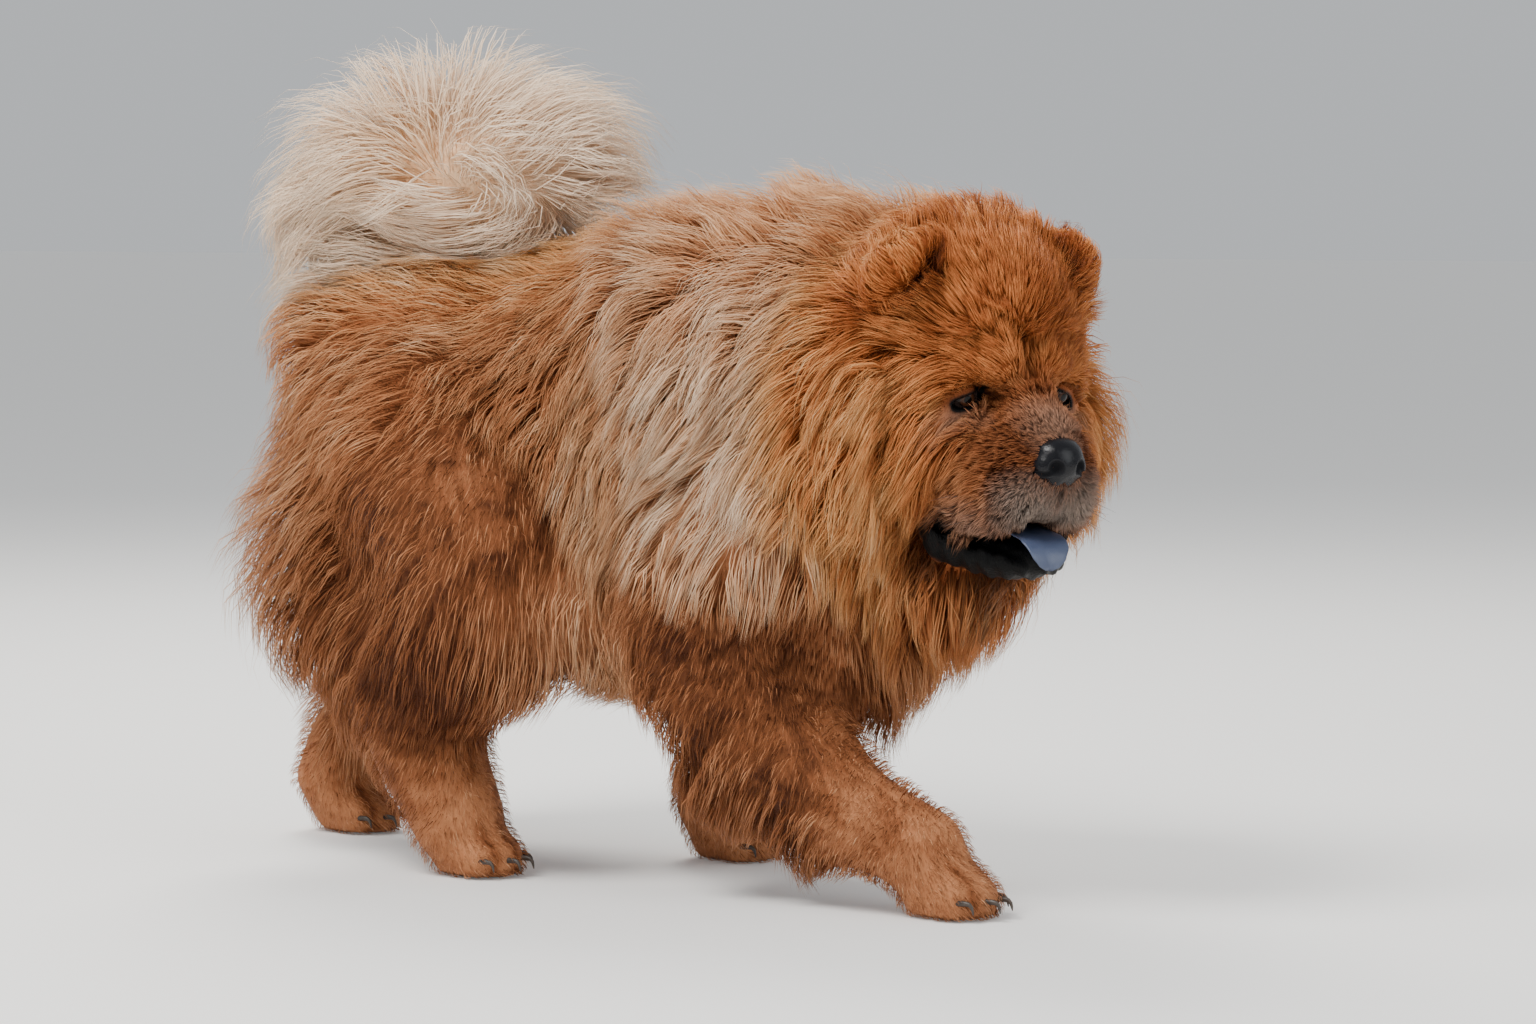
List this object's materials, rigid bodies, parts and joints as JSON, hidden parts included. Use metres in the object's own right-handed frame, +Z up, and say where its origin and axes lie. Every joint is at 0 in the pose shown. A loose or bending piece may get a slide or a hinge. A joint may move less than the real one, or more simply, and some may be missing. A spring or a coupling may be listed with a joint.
{
  "type": "chow chow",
  "caption": "Life-size still model of a red chow chow in full coat, walking, its head turned to its right, its blue-black tongue out and its plumed tail curled over its back.",
  "frame": {"origin": "on the floor under the middle of the outline", "axes": "+X the way the dog walks, +Y its left side, +Z up"},
  "size_m": [0.93, 0.4028, 0.7037],
  "materials": {
    "coat": "long plush red coat",
    "tail_coat": "long cream coat",
    "eye": "wet, dark brown",
    "nose_leather": "moist, pebbled black",
    "tongue": "moist, slate blue",
    "claw": "smooth dark horn"
  },
  "bodies": {
    "root": {"head": "coat", "muzzle": "coat", "lower_jaw": "coat", "nose": "nose_leather", "tongue": "tongue", "eye_right": "eye", "eye_left": "eye", "ear_right": "coat", "ear_left": "coat", "mane": "coat", "chest": "coat", "trunk": "coat", "rump": "coat", "tail": "tail_coat", "foreleg_right_upper": "coat", "foreleg_right_lower": "coat", "foreleg_right_pastern": "coat", "foreleg_right_paw": "coat", "foreleg_right_claw_1": "claw", "foreleg_right_claw_2": "claw", "foreleg_right_claw_3": "claw", "foreleg_right_claw_4": "claw", "foreleg_left_upper": "coat", "foreleg_left_lower": "coat", "foreleg_left_pastern": "coat", "foreleg_left_paw": "coat", "foreleg_left_claw_1": "claw", "foreleg_left_claw_2": "claw", "foreleg_left_claw_3": "claw", "foreleg_left_claw_4": "claw", "hindleg_right_upper": "coat", "hindleg_right_lower": "coat", "hindleg_right_pastern": "coat", "hindleg_right_paw": "coat", "hindleg_right_claw_1": "claw", "hindleg_right_claw_2": "claw", "hindleg_right_claw_3": "claw", "hindleg_right_claw_4": "claw", "hindleg_left_upper": "coat", "hindleg_left_lower": "coat", "hindleg_left_pastern": "coat", "hindleg_left_paw": "coat", "hindleg_left_claw_1": "claw", "hindleg_left_claw_2": "claw", "hindleg_left_claw_3": "claw", "hindleg_left_claw_4": "claw"}
  },
  "joints": []
}
